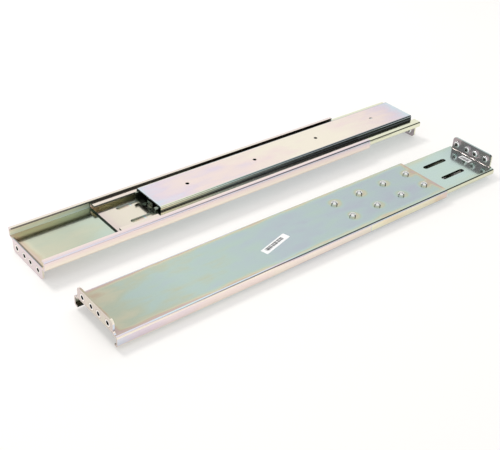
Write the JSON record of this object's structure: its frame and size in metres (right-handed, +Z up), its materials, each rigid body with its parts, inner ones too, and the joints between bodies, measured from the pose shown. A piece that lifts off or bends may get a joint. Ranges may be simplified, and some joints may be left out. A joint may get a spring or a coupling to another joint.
{
  "type": "sliding server rail pair",
  "caption": "Pair of sliding server rails: nested C-section steel brackets with rack flanges that telescope to the cabinet's depth, each holding a ball-bearing slide for the server.",
  "frame": {"origin": "middle of the pair's footprint, on the surface that it lies on", "axes": "+X along the rails from their front flanges to their rear flanges, +Y from the right rail to the left rail, +Z up; the left rail lies on its outer face and the right rail is turned over onto its slide"},
  "size_m": [0.536, 0.1992, 0.0297],
  "materials": {
    "bracket_plate": "yellow and blue passivated zinc on smooth steel sheet, satin",
    "slide_plate": "pale passivated zinc on smooth steel sheet, satin",
    "bright_nuts": "bright zinc",
    "buffer_rubber": "matt black rubber",
    "cage_steel": "bare strip",
    "ball_steel": "polished"
  },
  "bodies": {
    "pair": {"left_front_bracket": "bracket_plate", "left_front_flange_nuts": "bright_nuts", "left_clamp_nuts": "bright_nuts", "left_clamp_screws": "bright_nuts", "left_slide_base": "slide_plate", "left_stop_bumper": "buffer_rubber", "right_front_bracket": "bracket_plate", "right_front_flange_nuts": "bright_nuts", "right_clamp_nuts": "bright_nuts", "right_clamp_screws": "bright_nuts", "right_slide_base": "slide_plate", "right_stop_bumper": "buffer_rubber"},
    "left_rear": {"left_rear_bracket": "bracket_plate", "left_rear_flange_nuts": "bright_nuts"},
    "left_chassis": {"left_chassis_rail": "slide_plate", "left_chassis_stop": "slide_plate"},
    "left_upper_cage": {"left_upper_ball_cage": "cage_steel", "left_upper_balls": "ball_steel"},
    "left_lower_cage": {"left_lower_ball_cage": "cage_steel", "left_lower_balls": "ball_steel"},
    "right_rear": {"right_rear_bracket": "bracket_plate", "right_rear_flange_nuts": "bright_nuts"},
    "right_chassis": {"right_chassis_rail": "slide_plate", "right_chassis_stop": "slide_plate"},
    "right_upper_cage": {"right_upper_ball_cage": "cage_steel", "right_upper_balls": "ball_steel"},
    "right_lower_cage": {"right_lower_ball_cage": "cage_steel", "right_lower_balls": "ball_steel"}
  },
  "joints": [
    {"name": "left_depth_adjust", "type": "slide", "parent": "pair", "child": "left_rear", "axis": [1, 0, 0], "range_m": [-0.0101, 0.075]},
    {"name": "left_chassis_slide", "type": "slide", "parent": "pair", "child": "left_chassis", "axis": [-1, 0, 0], "range_m": [0, 0.24]},
    {"name": "left_upper_cage_roll", "type": "slide", "parent": "pair", "child": "left_upper_cage", "axis": [-1, 0, 0], "range_m": [0, 0.12]},
    {"name": "left_lower_cage_roll", "type": "slide", "parent": "pair", "child": "left_lower_cage", "axis": [-1, 0, 0], "range_m": [0, 0.12]},
    {"name": "right_depth_adjust", "type": "slide", "parent": "pair", "child": "right_rear", "axis": [1, 0, 0], "range_m": [-0.0048, 0.0803]},
    {"name": "right_chassis_slide", "type": "slide", "parent": "pair", "child": "right_chassis", "axis": [-1, 0, 0], "range_m": [0, 0.24]},
    {"name": "right_upper_cage_roll", "type": "slide", "parent": "pair", "child": "right_upper_cage", "axis": [-1, 0, 0], "range_m": [0, 0.12]},
    {"name": "right_lower_cage_roll", "type": "slide", "parent": "pair", "child": "right_lower_cage", "axis": [-1, 0, 0], "range_m": [0, 0.12]}
  ],
  "couplings": [
    {"joint": "left_upper_cage_roll", "follows": "left_chassis_slide", "ratio": 0.5},
    {"joint": "left_lower_cage_roll", "follows": "left_chassis_slide", "ratio": 0.5},
    {"joint": "right_upper_cage_roll", "follows": "right_chassis_slide", "ratio": 0.5},
    {"joint": "right_lower_cage_roll", "follows": "right_chassis_slide", "ratio": 0.5}
  ]
}
